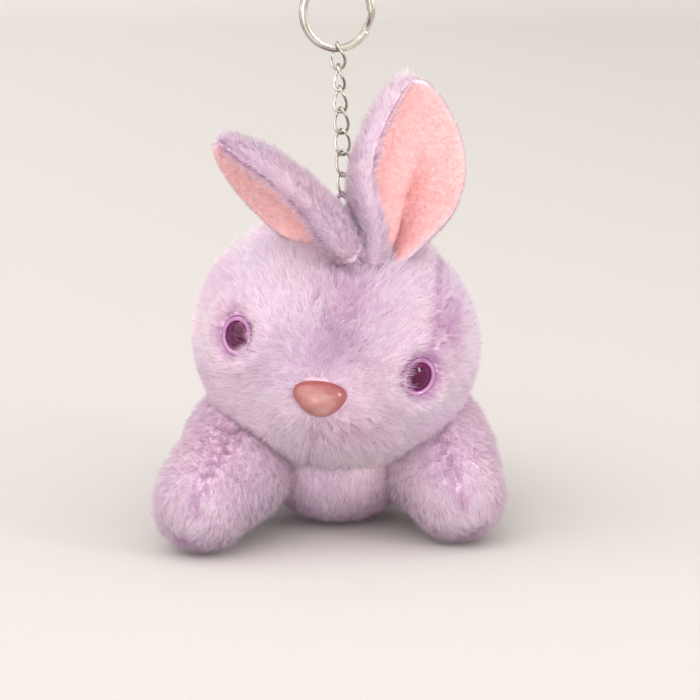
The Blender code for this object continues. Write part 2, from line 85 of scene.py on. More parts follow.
# Body and limbs.
LIMB_NAMES = ("front_leg_left", "front_leg_right", "hind_leg_left", "hind_leg_right")
PAW_RADII = {"front": 13.4, "hind": 12.0}
SHOULDER_RADII = {"front": 18.0, "hind": 14.5}
SEAM_OFFSET = 5.0
SHOULDER_RISE = {"front": 5.5, "hind": 0.0}
RUMP_RADIUS = 27.6
RUMP_MIDDLE = (-1.5, 26.7)  # sideways and upwards
FLOOR_GAP = 0.1  # the lowest that any pile reaches
CLOTH_GAP = 0.3  # the lowest that the cloth under it reaches

# Ears: a cloth sheet with one long edge rolled over. open widens its flat side. roll is how far the edge
# turns, in radians, and lean moves the ear sideways, both at the root and at the tip. base thickens the root.
# crease is how deep the sheet folds, fold is where the fold lies, along and beyond which painted shade
# deepens the lining by fold_shade, and parting is how much painted shade darkens the plush beside the rolled
# edge.
EAR_WIDTH = 38.0
EAR_BEND = math.radians(20)
EAR_PINCH = math.radians(55)
EAR_ROLL_FROM = 0.12
EAR_ROWS = 64
EAR_COLUMNS = 56
EAR_BELOW_JOINT = 5.5
EAR_SWAY = 2.5
EARS = {
    "left": {
        "joint": "ear_left_lift",
        "axis": (-0.745, -0.151, 0.648),
        "facing": (-0.345, -0.743, -0.570),
        "side": -1,
        "length": 44.5,
        "open": 0.68,
        "roll": (1.1, 0.9),
        "crease": 0.6,
        "lean": (1.5, 1.0),
        "base": 1.8,
        "parting_shade": 0.2,
        "fold": 4.0,
        "fold_shade": 0.0,
    },
    "right": {
        "joint": "ear_right_tilt",
        "axis": (0.168, 0.118, 0.979),
        "facing": (0.218, -0.973, 0.079),
        "side": 1,
        "length": 49.0,
        "open": 1.18,
        "roll": (1.8, 1.2),
        "crease": 3.2,
        "lean": (-7.0, -3.2),
        "base": 0.4,
        "parting_shade": 0.0,
        "fold": 6.2,
        "fold_shade": 0.36,
    },
}

# Chain and ring.
LINK_WIRE = 0.95
LINK_LENGTH = 8.75
LINK_WIDTH = 5.3
RING_LINK_WIDTH = 5.9
LINK_START = 22
LINK_DRIFT = -16
RING_LINK_TURN = -45
RING_RADIUS = 12.0
RING_SECTION = (2.0, 1.1)
RING_PITCH = 1.35
RING_JOGGLE = math.radians(34)
RING_JOGGLE_AT = math.radians(-16)
RING_YAW = math.radians(22)
RING_CORNER = 0.32
RING_STEPS = 280
LOOP_RADIUS = 0.75
LOOP_REACH = 2.6

# Camera: a long lens from a little above the rabbit.
CAMERA_AIM = np.array([5.0, -22.0, 55.6])
CAMERA_DISTANCE = 700.0
CAMERA_ELEVATION = math.radians(12)
VIEW_WIDTH = 212.12  # what the picture spans at the aim


# Small vector helpers


def unit(vectors):
    length = np.linalg.norm(vectors, axis=-1, keepdims=True)
    return vectors / np.maximum(length, 1e-9)


def smooth(low, high, values):
    """0 below low, 1 above high, and a smooth step between."""
    share = np.clip((values - low) / (high - low), 0, 1)
    return share * share * (3 - 2 * share)


def near(points, centre, reach):
    """1 at centre, falling away over reach."""
    return np.exp(-(((points - centre) / reach) ** 2).sum(-1))


def drift(points, size, seed):
    """Smooth noise from about -1 to 1, with lumps of about this size."""
    rng = np.random.default_rng(seed)
    total = np.zeros(len(points))
    for _ in range(9):
        way = rng.normal(size=3)
        way *= (0.6 + 0.8 * rng.random()) * 2.2 / size / np.linalg.norm(way)
        total += np.sin(points @ way + rng.random() * 6.3)
    return total / 3.2


def along_surface(vectors, normals):
    flat = vectors - normals * (vectors * normals).sum(-1, keepdims=True)
    return unit(flat)


def box_mm(node):
    low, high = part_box(node)
    return np.array(low) / MM, np.array(high) / MM


def middle_mm(node):
    low, high = box_mm(node)
    return (low + high) / 2


def joint_mm(name):
    joint = next(j for j in frame["joints"] if j["name"] == name)
    return np.array(joint["pos_m"]) / MM


# Places taken from the frame

HEAD_TURN = np.array(HEAD_TILT.to_matrix())


def head_centre():
    low, high = box_mm("head_skin")
    half = np.sqrt(((HEAD_TURN * HEAD_RADII) ** 2).sum(1))
    return np.array([(low[0] + high[0]) / 2, low[1] + half[1], high[2] - half[2]])


HEAD_CENTRE = head_centre()


def to_head(points):
    return (points - HEAD_CENTRE) @ HEAD_TURN


def from_head(points):
    return points @ HEAD_TURN.T + HEAD_CENTRE


def fitting(washer):
    """The point of the head's cloth over a washer, and the outward normal there."""
    centre = middle_mm(washer)
    local = to_head(centre)
    normal = HEAD_TURN @ unit(local / HEAD_RADII**2)
    return centre + normal * WASHER_BELOW_CLOTH, normal


EYES = {side: fitting(f"eye_{side}_washer") for side in ("left", "right")}
NOSE = fitting("nose_washer")
NECK = joint_mm("neck_nod")


def limb_ends(name):
    """Shoulder or hip, and the middle of the paw."""
    low, high = box_mm(f"{name}_skin")
    radius = PAW_RADII[name.split("_")[0]]
    shoulder = joint_mm(f"{name}_swing")
    paw = np.array([0.0, 0.0, low[2] + radius])
    paw[0] = low[0] + radius if name.endswith("left") else high[0] - radius
    paw[1] = low[1] + radius if name.startswith("front") else high[1] - radius
    return shoulder, paw


# Forms: closed surfaces as points, triangles and normals


class Form:
    def __init__(self, points, triangles):
        self.points = points
        self.triangles = triangles
        self.refresh()

    def refresh(self):
        corners = self.points[self.triangles]
        faces = np.cross(corners[:, 1] - corners[:, 0], corners[:, 2] - corners[:, 0])
        self.areas = np.linalg.norm(faces, axis=1) / 2
        normals = np.zeros_like(self.points)
        for i in range(3):
            np.add.at(normals, self.triangles[:, i], faces)
        self.normals = unit(normals)

    def push(self, amount):
        """Moves the surface out along its normals."""
        self.points = self.points + self.normals * amount[:, None]
        self.refresh()

    def rest_on(self, height):
        """Flattens what would lie below this height."""
        self.points[:, 2] = np.maximum(self.points[:, 2], height)
        self.refresh()


def ball_form(level):
    """A ball of radius 1."""
    bm = bmesh.new()
    bmesh.ops.create_icosphere(bm, subdivisions=level, radius=1)
    points = np.array([v.co for v in bm.verts])
    triangles = np.array([[v.index for v in f.verts] for f in bm.faces])
    bm.free()
    return Form(points, triangles)


def grid_triangles(rows, columns, wrap):
    """Triangles between rows of vertices, as index pairs into a rows by columns grid."""
    row, column = np.meshgrid(np.arange(rows - 1), np.arange(columns if wrap else columns - 1), indexing="ij")
    following = (column + 1) % columns
    a = (row * columns + column).ravel()
    b = (row * columns + following).ravel()
    c = ((row + 1) * columns + following).ravel()
    d = ((row + 1) * columns + column).ravel()
    return np.concatenate([np.stack([a, b, c], 1), np.stack([a, c, d], 1)])


def turned_rows(radii, heights, start, axis, columns):
    """A row of points round the axis for each radius and height of a profile."""
    side = unit(np.cross(UP if abs(axis[2]) < 0.9 else np.array([1.0, 0, 0]), axis))
    other = np.cross(axis, side)
    angles = np.linspace(0, 2 * math.pi, columns, endpoint=False)
    ring = np.cos(angles)[:, None] * side + np.sin(angles)[:, None] * other
    rows = start + axis * heights[:, None, None] + ring * radii[:, None, None]
    return rows.reshape(-1, 3)


def lathe_form(radii, heights, start, axis, columns):
    """A profile turned about axis from start, closed by a point at each end."""
    axis = unit(axis)
    body = turned_rows(radii[1:-1], heights[1:-1], start, axis, columns)
    points = np.concatenate([body, [start + axis * heights[0]], [start + axis * heights[-1]]])
    rows = len(radii) - 2
    low, high = rows * columns, rows * columns + 1
    first = np.arange(columns)
    after = (first + 1) % columns
    above = (rows - 1) * columns
    caps = [
        np.stack([first, np.full(columns, low), after], 1),
        np.stack([first + above, after + above, np.full(columns, high)], 1),
    ]
    return Form(points, np.concatenate([grid_triangles(rows, columns, True), *caps]))


def hoop_form(radii, heights, start, axis, columns):
    """A closed profile that stays clear of the axis, turned about it."""
    points = turned_rows(radii, heights, start, axis, columns)
    first = np.arange(columns)
    after = (first + 1) % columns
    above = (len(radii) - 1) * columns
    seam = [np.stack([first + above, after + above, after], 1), np.stack([first + above, after, first], 1)]
    return Form(points, np.concatenate([grid_triangles(len(radii), columns, True), *seam]))


def capsule_form(start, start_radius, end, end_radius, columns=64, arc=18, straight=24):
    """Two balls joined by a taper."""
    axis = end - start
    length = np.linalg.norm(axis)
    slope = math.asin((start_radius - end_radius) / length)
    low = np.linspace(-math.pi / 2, slope, arc)
    high = np.linspace(slope, math.pi / 2, arc)
    share = np.linspace(0, 1, straight + 2)[1:-1]
    radius = start_radius + (end_radius - start_radius) * share
    radii = [start_radius * np.cos(low), radius * math.cos(slope), end_radius * np.cos(high)]
    heights = [start_radius * np.sin(low), length * share + radius * math.sin(slope)]
    heights.append(length + end_radius * np.sin(high))
    return lathe_form(np.concatenate(radii), np.concatenate(heights), start, axis, columns)


# Meshes


def new_piece(name, mesh, body, material):
    mesh.materials.append(material)
    obj = bpy.data.objects.new(name, mesh)
    bpy.context.scene.collection.objects.link(obj)
    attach(obj, body)
    return obj


def add_mesh(name, points, faces, body, material):
    mesh = bpy.data.meshes.new(name)
    mesh.from_pydata((points * MM).tolist(), [], faces)
    mesh.shade_smooth()
    return new_piece(name, mesh, body, material)


def add_form(name, form, body, material):
    return add_mesh(name, form.points, form.triangles.tolist(), body, material)


def scatter(form, count, rng, only=None):
    """Evenly spread random points of a form's surface, with their normals."""
    areas = form.areas if only is None else form.areas * only
    steps = np.cumsum(areas) / areas.sum()
    picks = np.searchsorted(steps, (np.arange(count) + rng.random(count)) / count)
    picks = np.minimum(picks, len(steps) - 1)
    u = rng.random(count)
    v = rng.random(count)
    over = u + v > 1
    u[over] = 1 - u[over]
    v[over] = 1 - v[over]
    corners = form.triangles[picks]
    weights = np.stack([1 - u - v, u, v], 1)[:, :, None]
    return (form.points[corners] * weights).sum(1), unit((form.normals[corners] * weights).sum(1))


def per_place(given, places):
    """A number for each place, from one number or from a function of places."""
    return given(places) if callable(given) else np.full(len(places), float(given))


def nearest_of(points, centres):
    tree = KDTree(len(centres))
    for i, centre in enumerate(centres):
        tree.insert(centre, i)
    tree.balance()
    return np.array([tree.find(p)[1] for p in points])


class Clumps:
    """Evenly spread middles of clumps, each with the lay that the tufts round it share."""

    def __init__(self, form, area, comb, length, rng, looks):
        self.centres, normals = scatter(form, max(8, int(area / looks["clump"] ** 2)), rng, looks["only"])
        count = len(self.centres)
        self.ruffle = per_place(looks["ruffle"], self.centres)
        self.tilt = np.radians(per_place(looks["tilt"], self.centres)) + 0.12 * rng.normal(size=count)
        spread = 0.05 + 0.12 * self.ruffle
        self.reach = per_place(length, self.centres) * (1 + spread * rng.normal(size=count))
        self.swirl = rng.normal(size=(count, 3)) * (0.1 + 0.42 * self.ruffle)[:, None]
        lay = along_surface(comb(self.centres) + self.swirl, normals)
        tilt = self.tilt[:, None]
        self.tips = self.centres + (normals * np.cos(tilt) + lay * np.sin(tilt)) * self.reach[:, None]


def tuft_tips(points, normals, comb, clumps, nearest, rng):
    """Each tuft's own tip, drawn some way towards the tip of its clump."""
    n = len(points)
    tilts = (clumps.tilt[nearest] + 0.16 * rng.normal(size=n))[:, None]
    lay = along_surface(comb(points) + clumps.swirl[nearest] + 0.25 * rng.normal(size=(n, 3)), normals)
    ways = normals * np.cos(tilts) + lay * np.sin(tilts)
    lengths = clumps.reach[nearest] * np.clip(1 + 0.14 * rng.normal(size=n), 0.5, 1.4)
    tips = points + ways * lengths[:, None]
    gather = (0.12 + 0.5 * clumps.ruffle)[nearest] * rng.random(n)
    return tips + (clumps.tips[nearest] - tips) * gather[:, None]


def tuft_colours(points, shade, clumps, nearest, rng):
    """The pile's attribute: height in red, chance in green and shade in blue."""
    n = len(points)
    ruffle = clumps.ruffle
    # Painted shade: tufts come out darker at random where the pile is ruffled, and each clump's tone differs
    # a little.
    shades = per_place(shade, points) * (1 - 0.22 * ruffle[nearest] * rng.random(n))
    shades = shades * (1 + (0.02 + 0.1 * ruffle) * rng.normal(size=len(ruffle)))[nearest]
    colours = np.ones((n * 3, 4), np.float32)
    colours[:, 0] = np.tile([0.0, 0.0, 1.0], n)
    colours[:, 1] = np.repeat(rng.random(n), 3)
    colours[:, 2] = np.repeat(np.clip(shades, 0, 1.2), 3)
    return colours


def grow_pile(name, form, body, material, slot, density, comb, length, seed, **looks):
    """Pile on a form: density tufts to a square millimetre, each one tapered blade.

    comb gives the way the pile lies, from points. length, tilt, ruffle and shade are numbers, or give numbers
    from points. tilt is in degrees from upright, ruffle is 0 where the pile lies smooth and 1 where it parts
    into clumps, and shade is 1 for its own colour and less where painted shade darkens it. only is a share
    for each triangle, and keep says which points grow.
    """
    looks = PILE_DEFAULTS | looks
    only = looks["only"]
    rng = np.random.default_rng(seed)
    area = form.areas.sum() if only is None else (form.areas * only).sum()
    points, normals = scatter(form, int(area * density), rng, only)
    if looks["keep"]:
        kept = looks["keep"](points)
        points, normals = points[kept], normals[kept]
    clumps = Clumps(form, area, comb, length, rng, looks)
    nearest = nearest_of(points, clumps.centres)
    tips = tuft_tips(points, normals, comb, clumps, nearest, rng)

    roots = points - normals * ROOT_DEPTH
    ways = unit(tips - roots)
    across = unit(np.cross(ways, normals))
    upright = np.cross(across, ways)
    spin = rng.normal(size=(len(points), 1)) * 0.5
    across = (across * np.cos(spin) + upright * np.sin(spin)) * looks["width"] / 2
    verts = np.stack([roots - across, roots + across, tips], 1).reshape(-1, 3)
    verts[:, 2] = np.maximum(verts[:, 2], FLOOR_GAP)
    colours = tuft_colours(points, looks["shade"], clumps, nearest, rng)
    soft = unit(np.repeat(normals * 0.85 + unit(upright) * 0.15, 3, axis=0))
    return blades(name, verts, colours, soft, body, material)


def lilac_cloth(name, form, body):
    return add_form(name, form, body, LILAC_GROUND)


def lilac_pile(name, form, body, density, comb, length, seed, **looks):
    return grow_pile(name, form, body, LILAC_PILE, "lilac_plush", density, comb, length, seed, **looks)


def blades(name, verts, colours, normals, body, material):
    """One mesh of many separate triangles."""
    n = len(verts) // 3
    mesh = bpy.data.meshes.new(name)
    mesh.vertices.add(len(verts))
    mesh.vertices.foreach_set("co", (verts * MM).astype(np.float32).ravel())
    mesh.loops.add(len(verts))
    mesh.loops.foreach_set("vertex_index", np.arange(len(verts), dtype=np.int32))
    mesh.polygons.add(n)
    mesh.polygons.foreach_set("loop_start", np.arange(n, dtype=np.int32) * 3)
    mesh.update(calc_edges=True)
    mesh.shade_smooth()
    attribute = mesh.color_attributes.new("pile", "FLOAT_COLOR", "POINT")
    attribute.data.foreach_set("color", colours.ravel())
    mesh.normals_split_custom_set_from_vertices(normals)
    return new_piece(name, mesh, body, material)


# Materials


def set_stops(ramp_node, stops):
    """Colour stops as (place, colour) pairs, in order of place."""
    elements = ramp_node.color_ramp.elements
    elements[0].position = stops[0][0]
    elements[-1].position = stops[-1][0]
    for place, _ in stops[1:-1]:
        elements.new(place)
    for element, (_, colour) in zip(elements, stops):
        element.color = (*colour, 1)


class Nodes:
    """A material's node tree, with short calls to add and join nodes."""

    def __init__(self, name):
        self.material = bpy.data.materials.new(name)
        self.material.use_nodes = True
        self.tree = self.material.node_tree
        self.shader = self.tree.nodes["Principled BSDF"]

    def add(self, kind, **settings):
        node = self.tree.nodes.new(kind)
        for key, value in settings.items():
            setattr(node, key, value)
        return node

    def join(self, source, target):
        self.tree.links.new(source, target)

    def set(self, **values):
        for key, value in values.items():
            self.shader.inputs[key.replace("_", " ")].default_value = value

    def coordinates(self):
        return self.add("ShaderNodeTexCoord").outputs["Object"]

    def channels(self, attribute_name):
        """The red, green and blue of a colour attribute."""
        attribute = self.add("ShaderNodeAttribute", attribute_name=attribute_name)
        split = self.add("ShaderNodeSeparateColor")
        self.join(attribute.outputs["Color"], split.inputs[0])
        return split.outputs

    def noise(self, scale, detail):
        node = self.add("ShaderNodeTexNoise")
        node.inputs["Scale"].default_value = scale
        node.inputs["Detail"].default_value = detail
        self.join(self.coordinates(), node.inputs["Vector"])
        return node.outputs["Fac"]

    def ramp(self, source, *stops):
        node = self.add("ShaderNodeValToRGB")
        set_stops(node, stops)
        self.join(source, node.inputs["Fac"])
        return node.outputs["Color"]

    def multiply(self, first, second):
        """The product of two colours."""
        node = self.add("ShaderNodeMix", data_type="RGBA", blend_type="MULTIPLY")
        node.inputs[0].default_value = 1.0
        self.join(first, node.inputs[6])
        self.join(second, node.inputs[7])
        return node.outputs[2]

    def bump(self, source, strength, distance):
        node = self.add("ShaderNodeBump")
        node.inputs["Strength"].default_value = strength
        node.inputs["Distance"].default_value = distance
        self.join(source, node.inputs["Height"])
        self.join(node.outputs["Normal"], self.shader.inputs["Normal"])

    def paint(self, source):
        self.join(source, self.shader.inputs["Base Color"])

    def glow_through(self, source, share):
        """Lets part of the light pass through, as it does through fine fibres."""
        through = self.add("ShaderNodeBsdfTranslucent")
        both = self.add("ShaderNodeMixShader")
        self.join(source, through.inputs["Color"])
        both.inputs["Fac"].default_value = share
        self.join(self.shader.outputs["BSDF"], both.inputs[1])
        self.join(through.outputs["BSDF"], both.inputs[2])
        self.join(both.outputs["Shader"], self.tree.nodes["Material Output"].inputs["Surface"])


def ground_material(name, deep, light):
    """The cloth under a pile: darker as painted shade between the fibres, and broken up like the feet of the
    fibres.
    """
    nodes = Nodes(name)
    fine = nodes.noise(900, 4)
    nodes.paint(nodes.ramp(fine, (0.3, deep), (0.7, light)))
    nodes.bump(fine, 0.6, 0.0006)
    nodes.set(Roughness=0.95, Sheen_Weight=0.2, Sheen_Roughness=0.5, Specular_IOR_Level=0.1)
    return nodes.material


def pile_material(name, root, middle, tip, deep, half_shade):
    """Fibres, dark at the foot as painted shade deep in the pile and pale at the tip, with a little
    difference from one to the next.
    """
    nodes = Nodes(name)
    height, chance, shade = nodes.channels("pile")
    along = nodes.ramp(height, (0.0, root), (0.4, middle), (1.0, tip))
    each = nodes.ramp(chance, (0.0, (0.60, 0.44, 0.58)), (0.22, (0.92, 0.88, 0.92)), (0.8, (1, 1, 1)))
    colour = nodes.multiply(along, each)
    patches = nodes.ramp(nodes.noise(38, 3), (0.35, (0.97, 0.97, 1.0)), (0.65, (1.0, 0.98, 0.975)))
    colour = nodes.multiply(colour, patches)
    # Painted shade: the shade channel darkens the colour towards deep, through half_shade.
    depth = nodes.ramp(shade, (0.0, deep), (0.55, half_shade), (1.0, (1, 1, 1)))
    colour = nodes.multiply(colour, depth)
    nodes.paint(colour)
    nodes.glow_through(colour, 0.38)
    nodes.set(Roughness=0.75, Sheen_Weight=0.12, Sheen_Roughness=0.4, Specular_IOR_Level=0.12)
    return nodes.material


def plastic_material(name, deep, light, scale, roughness, **values):
    nodes = Nodes(name)
    nodes.paint(nodes.ramp(nodes.noise(scale, 3), (0.3, deep), (0.7, light)))
    nodes.set(Roughness=roughness, **values)
    return nodes.material


def metal_material():
    """Nickel plate, with faint wear in its colour and gloss."""
    nodes = Nodes("nickel_plate")
    wear = nodes.noise(260, 5)
    nodes.paint(nodes.ramp(wear, (0.3, (0.40, 0.37, 0.33)), (0.7, (0.60, 0.57, 0.52))))
    nodes.bump(wear, 0.08, 0.0001)
    nodes.set(Roughness=0.16, Metallic=1.0)
    return nodes.material


def cord_material():
    nodes = Nodes("loop_cord_weave")
    wave = nodes.add("ShaderNodeTexWave", wave_type="BANDS", bands_direction="DIAGONAL")
    wave.inputs["Scale"].default_value = 500
    nodes.join(nodes.coordinates(), wave.inputs["Vector"])
    nodes.paint(nodes.ramp(wave.outputs["Fac"], (0.2, (0.36, 0.20, 0.36)), (0.8, (0.62, 0.44, 0.62))))
    nodes.bump(wave.outputs["Fac"], 0.5, 0.0002)
    nodes.set(Roughness=0.8)
    return nodes.material


# Each ground is darker than its pile, as painted shade between the fibres. Each pile's colours are root,
# middle and tip, the root darker as painted shade deep in the pile, then the deepest and half-way painted
# shade.
LILAC_GROUND = ground_material("lilac_ground", (0.80, 0.60, 0.74), (0.92, 0.77, 0.88))
LILAC_PILE = pile_material(
    "lilac_pile",
    (0.84, 0.66, 0.78),
    (0.965, 0.86, 0.93),
    (1.0, 0.945, 0.975),
    (0.34, 0.12, 0.32),
    (0.74, 0.53, 0.72),
)
PINK_GROUND = ground_material("pink_ground", (0.97, 0.50, 0.50), (0.99, 0.62, 0.61))
PINK_PILE = pile_material(
    "pink_pile",
    (0.98, 0.66, 0.65),
    (0.985, 0.79, 0.78),
    (0.99, 0.87, 0.86),
    (0.92, 0.42, 0.44),
    (0.98, 0.74, 0.75),
)
METAL = metal_material()
CORD = cord_material()
WHITE_PLASTIC = plastic_material("natural_polyethylene", (0.72, 0.71, 0.68), (0.82, 0.81, 0.78), 400, 0.4)


# Head


def head_local_points():
    """Places on the head that shape its pile, in the head's own axes."""
    places = {side: to_head(point) for side, (point, _) in EYES.items()}
    places["nose"] = to_head(NOSE[0])
    places["brow"] = np.array([1.5, -31.0, 20.0])
    places["lip"] = places["nose"] + (9, 3, -8)
    places["temple"] = np.array([31.5, -18.0, 13.0])
    return places


PLACES = head_local_points()


def eye_cover(local):
    """1 beside each eye on the nose's side, where the pile falls over it."""
    share = np.zeros(len(local))
    for side in ("left", "right"):
        towards = unit(PLACES["nose"] - PLACES[side])
        share += near(local, PLACES[side] + towards * 6.5, (3.6, 3.6, 4.2))
    return share


def eye_gaps(local):
    """The distance to the nearer eye's middle."""
    return np.minimum(*(np.linalg.norm(local - PLACES[side], axis=1) for side in ("left", "right")))


def seam_share(local):
    """1 along the two seams that run from the eyes over the crown, falling away beside them."""
    curve = HEAD_SEAM_SIDE - 0.0055 * (local[:, 2] - 8) ** 2
    share = np.exp(-(((np.abs(local[:, 0]) - curve) / 1.4) ** 2))
    return share * smooth(5, 10, local[:, 2]) * np.where(local[:, 0] > 0, 1.0, 0.35)


def chin_seam_share(local):
    share = np.exp(-(((local[:, 0] - PLACES["nose"][0]) / 1.3) ** 2))
    return share * smooth(-15, -19, local[:, 2]) * smooth(-5, -12, local[:, 1])


def make_head_form():
    ball = ball_form(6)
    local = ball.points * HEAD_RADII
    form = Form(from_head(local), ball.triangles)
    amount = 2.0 * near(local, PLACES["nose"] + (0, 3, -5), (15, 12, 10))
    amount += 0.35 * drift(local, 9, 3)
    gaps = eye_gaps(local)
    amount += 1.7 * np.exp(-(((gaps - 9.5) / 3.5) ** 2)) - 1.4 * np.exp(-((gaps / 5.5) ** 2))
    amount -= 0.6 * seam_share(local) + 0.6 * chin_seam_share(local)
    form.push(amount)
    return form


def head_comb(points):
    """The pile lies away from the nose, then down the sides and back."""
    local = to_head(points)
    away = unit(local - PLACES["nose"] - (0, 2, 0))
    down = np.array([0.0, 0.25, -1.0])
    share = smooth(-12, 14, local[:, 1])[:, None]
    parted = np.sign(np.abs(local[:, 0]) - 27.0) * np.sign(local[:, 0])
    away[:, 0] += 0.25 * parted * seam_share(local)
    away += 0.22 * np.stack([drift(local, 14, 5), drift(local, 14, 6), drift(local, 14, 7)], 1)
    return (away * (1 - share) + down * share) @ HEAD_TURN.T


def clear_of_fittings(points):
    local = to_head(points)
    nose = local - PLACES["nose"]
    on_nose = (nose[:, 0] / (NOSE_WIDTH * 0.44)) ** 2 + (nose[:, 2] / (NOSE_HEIGHT * 0.44)) ** 2 < 1
    room = EYE_RADIUS - 0.1 - 0.9 * eye_cover(local)
    return ~(on_nose & (local[:, 1] < 0)) & (eye_gaps(local) > room)


def head_ruffle(points):
    """Where the pile parts into clumps: the brow, the temple seam, the lip, and beside the eyes."""
    local = to_head(points)
    ruffle = 0.14 + 0.12 * drift(local, 8, 8)
    ruffle += 0.55 * near(local, PLACES["brow"], (7, 14, 13))
    ruffle += 0.75 * near(local, PLACES["temple"], (4, 9, 11)) + 0.2 * seam_share(local)
    ruffle += 0.55 * near(local, PLACES["lip"], (9, 8, 5))
    ruffle += 0.3 * np.exp(-(((eye_gaps(local) - EYE_RADIUS) / 3) ** 2))
    return np.clip(ruffle, 0.03, 1)


def head_tilt(points):
    """Upright over the brow and bridge, lying flatter towards the sides and chin."""
    local = to_head(points)
    upright = near(local, PLACES["brow"] + (0, 0, -8), (16, 16, 18))
    return 60 - 22 * upright - 12 * eye_cover(local)


def head_shade(points):
    local = to_head(points)
    shade = 1 + 0.05 * drift(local, 12, 9)
    # Painted shade: darker on the brow, above the nose, along the temple and crown seams, under the nose,
    # along the chin seam and round each eye.
    shade -= 0.24 * near(local, PLACES["brow"] + (0, 0, -5), (9, 16, 15))
    shade -= 0.12 * near(local, PLACES["nose"] + (0, 0, 13), (9, 14, 7))
    shade -= 0.25 * near(local, PLACES["temple"], (4, 9, 11)) + 0.25 * seam_share(local)
    shade -= 0.12 * near(local, PLACES["lip"], (9, 8, 4)) + 0.15 * chin_seam_share(local)
    shade -= 0.40 * np.exp(-(((eye_gaps(local) - EYE_RADIUS) / 1.3) ** 2))
    return shade


def head_length(points):
    local = to_head(points)
    lengths = HEAD_PILE - 0.8 * seam_share(local) - 0.9 * near(local, PLACES["nose"], (11, 12, 9))
    lengths += 1.7 * eye_cover(local)
    outer = smooth(2, 4, np.abs(local[:, 0] - PLACES["nose"][0]) - 27)
    return lengths - 1.2 * outer * np.exp(-(((eye_gaps(local) - EYE_RADIUS) / 2.5) ** 2))


def make_head():
    form = make_head_form()
    skin = lilac_cloth("head_plush", form, "head")
    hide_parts("head_skin", "head_filling")
    local = to_head(form.points[form.triangles].mean(1))
    front = local[:, 1] < 2
    left = local[:, 0] < 0
    looks = {"keep": clear_of_fittings, "shade": head_shade, "ruffle": head_ruffle, "tilt": head_tilt}
    for name, area, density, seed in (
        ("head_pile_left", front & left, HEAD_DENSITY, 11),
        ("head_pile_right", front & ~left, HEAD_DENSITY, 12),
        ("head_pile_back", ~front, HEAD_BACK_DENSITY, 13),
    ):
        only = area.astype(float)
        lilac_pile(name, form, "head", density, head_comb, head_length, seed, only=only, **looks)


# Body, legs and tail


def body_comb(points):
    share = smooth(-34, -14, points[:, 1])[:, None]
    front = np.array([0.0, 0.0, -1.0])
    back = np.array([0.0, 0.8, -0.35])
    return front * (1 - share) + back * share


def body_shade(points):
    """Darker under the belly: painted shade."""
    return 0.78 + 0.2 * smooth(2, 20, points[:, 2]) + 0.05 * drift(points, 9, 15)


def make_body():
    low, high = box_mm("body_skin")
    chest_radius = NECK[1] - low[1] - 0.6
    rump = np.array([RUMP_MIDDLE[0], high[1] + 0.3 - RUMP_RADIUS, RUMP_MIDDLE[1]])
    form = capsule_form(NECK + (0, 0, 1.2), chest_radius, rump, RUMP_RADIUS, columns=96, arc=28, straight=20)
    spine = np.exp(-((form.points[:, 0] / 1.5) ** 2)) * smooth(40, 48, form.points[:, 2])
    form.push(0.3 * drift(form.points, 10, 16) - 0.9 * spine)
    form.rest_on(CLOTH_GAP)
    skin = lilac_cloth("body_plush", form, "body")
    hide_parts("body_skin", "body_filling")
    looks = {"shade": body_shade, "ruffle": 0.2, "tilt": 62}
    lilac_pile("body_pile", form, "body", BODY_DENSITY, body_comb, BODY_PILE, 21, **looks)


def limb_seam(points, shoulder, paw, width):
    """1 along the seam down the inner top of a limb to the end of its paw."""
    axis = unit(paw - shoulder)
    side = unit(np.cross(axis, UP))
    inward = side * (math.copysign(1, -paw[0]) * math.copysign(1, side[0]))
    offset = (points - shoulder) @ side - SEAM_OFFSET * (inward @ side)
    offset += 0.8 * np.sin((points @ axis) * 1.3)
    over = unit(np.cross(side, axis))
    return np.exp(-((offset / width) ** 2)) * smooth(0, 4, (points - shoulder) @ over)


def make_limb(name, seed):
    shoulder, paw = limb_ends(name)
    kind = name.split("_")[0]
    raised = shoulder + (0, 0, SHOULDER_RISE[kind])
    form = capsule_form(raised, SHOULDER_RADII[kind], paw, PAW_RADII[kind])
    form.push(0.4 * drift(form.points, 9, seed) - 0.8 * limb_seam(form.points, shoulder, paw, 1.3))
    form.rest_on(CLOTH_GAP)
    skin = lilac_cloth(f"{name}_plush", form, name)
    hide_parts(f"{name}_skin", f"{name}_filling")
    axis = unit(paw - shoulder)
    side = unit(np.cross(axis, UP))
    toe = paw + unit(axis * 0.9 - UP * 0.35) * PAW_RADII[kind]

    def seam(points, width=1.3):
        return limb_seam(points, shoulder, paw, width)

    def by_toe(points, reach):
        return near(points, toe, reach)

    def comb(points):
        """Down the limb, away from its seam, and into the point where the seams meet on the paw."""
        apart = np.sign((points - shoulder) @ side)[:, None] * side
        close = by_toe(points, 9)[:, None]
        lie = axis * 0.7 + np.array([0, 0, -0.5]) + apart * 0.25 * seam(points)[:, None]
        return lie * (1 - close) + unit(toe - points) * close

    def ruffle(points):
        rough = 0.16 + 0.12 * drift(points, 7, seed) + 0.22 * seam(points, 4) + 0.2 * by_toe(points, 5)
        return np.clip(rough, 0.03, 1)

    def shade(points):
        # Painted shade along the seam and where the seams meet at the toe, and darker round the top of the
        # shoulder.
        dim = 0.22 * seam(points) + 0.13 * seam(points, 4) + 0.25 * by_toe(points, 2.5)
        dim += 0.10 * near(points, shoulder + (0, 0, 8), (20, 20, 14))
        return 1.0 - dim + 0.05 * drift(points, 8, seed + 1)

    def length(points):
        return LIMB_PILE - 0.9 * seam(points) - 1.2 * by_toe(points, 3)

    looks = {"shade": shade, "ruffle": ruffle, "tilt": 56}
    lilac_pile(f"{name}_pile", form, name, LIMB_DENSITY, comb, length, seed, **looks)


